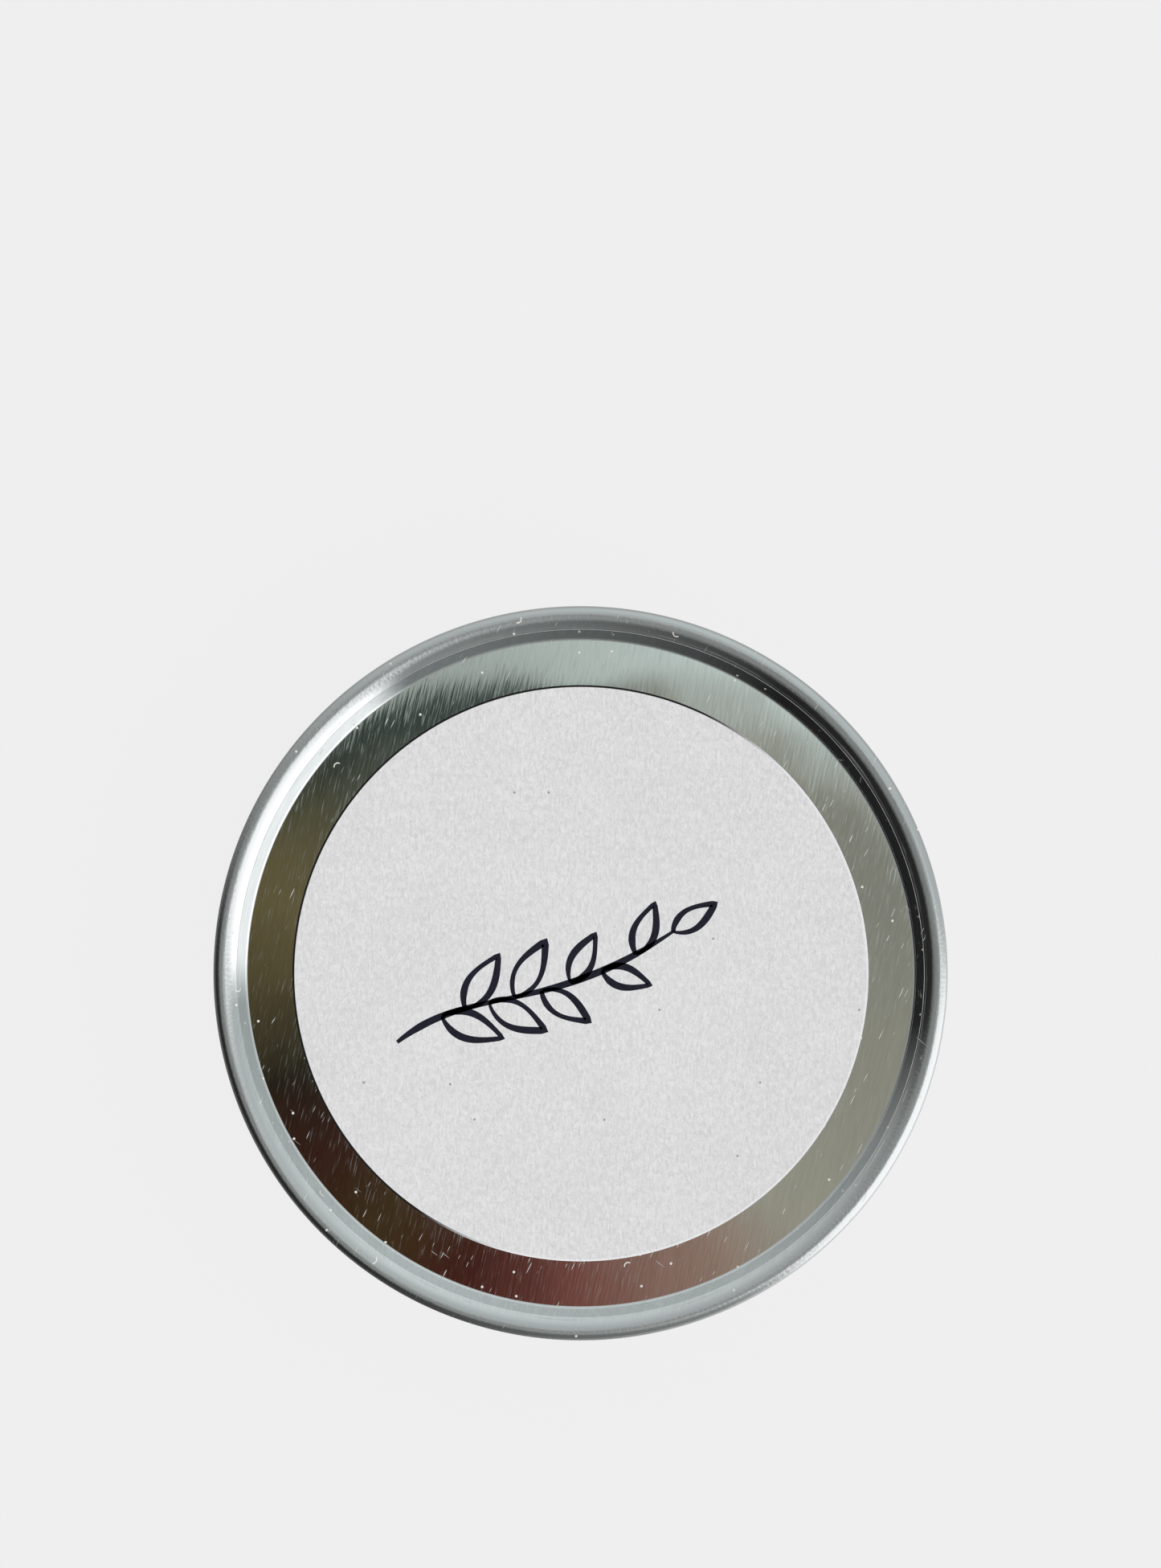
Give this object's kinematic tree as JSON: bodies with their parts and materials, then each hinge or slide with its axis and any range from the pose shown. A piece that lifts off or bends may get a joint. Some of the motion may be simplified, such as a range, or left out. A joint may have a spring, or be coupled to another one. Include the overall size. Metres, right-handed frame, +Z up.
{
  "type": "candle tin",
  "caption": "Round slip-lid tinplate candle tin with a rounded rim, a sunken lid panel with a round paper label, and a poured wax candle with a braided wick inside.",
  "frame": {"origin": "bottom centre of the tin, on the plane that its foot stands on", "axes": "+Z up along the tin's round axis, the way the lid lifts off; +X and +Y are level, with +Y towards the top of the label"},
  "size_m": [0.0806, 0.0806, 0.052],
  "materials": {
    "tinplate": "polished",
    "label_paper": "matte",
    "foam": "matte",
    "tab_metal": "satin",
    "wick_core": "matte",
    "wick_cotton": "matte",
    "wax": "satin",
    "ink": "matte"
  },
  "bodies": {
    "cup": {"tin_cup": "tinplate", "base_label": "label_paper", "wick_sticker": "foam", "wick_tab": "tab_metal", "wick_core": "wick_core", "wick_braid": "wick_cotton", "wax": "wax"},
    "lid": {"lid": "tinplate", "lid_label": "label_paper"}
  },
  "joints": [
    {"name": "lid_lift", "type": "slide", "parent": "cup", "child": "lid", "axis": [0, 0, 1], "range_m": [0, 0.05]}
  ]
}
